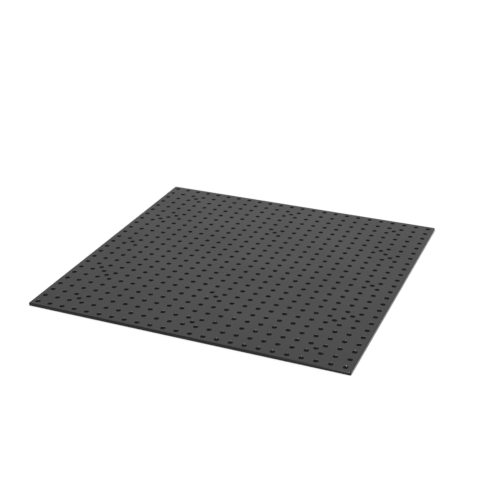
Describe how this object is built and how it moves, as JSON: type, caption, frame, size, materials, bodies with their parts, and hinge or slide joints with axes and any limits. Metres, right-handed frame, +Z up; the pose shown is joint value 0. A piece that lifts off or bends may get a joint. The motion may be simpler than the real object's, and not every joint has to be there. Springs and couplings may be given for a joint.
{
  "type": "perforated plate",
  "caption": "Flat square mounting plate drilled all over on a square grid, with extra fixing holes between the grid holes, for bolting parts down anywhere.",
  "frame": {"origin": "middle of the underside", "axes": "+Z up, square to the plate; X along the columns' spread, left to right in the picture; Y along the rows' spread, away from the camera"},
  "size_m": [0.6, 0.6, 0.006],
  "materials": {
    "black_anodised": "matt black anodised"
  },
  "bodies": {
    "root": {"perforated_plate": "black_anodised"}
  },
  "joints": []
}
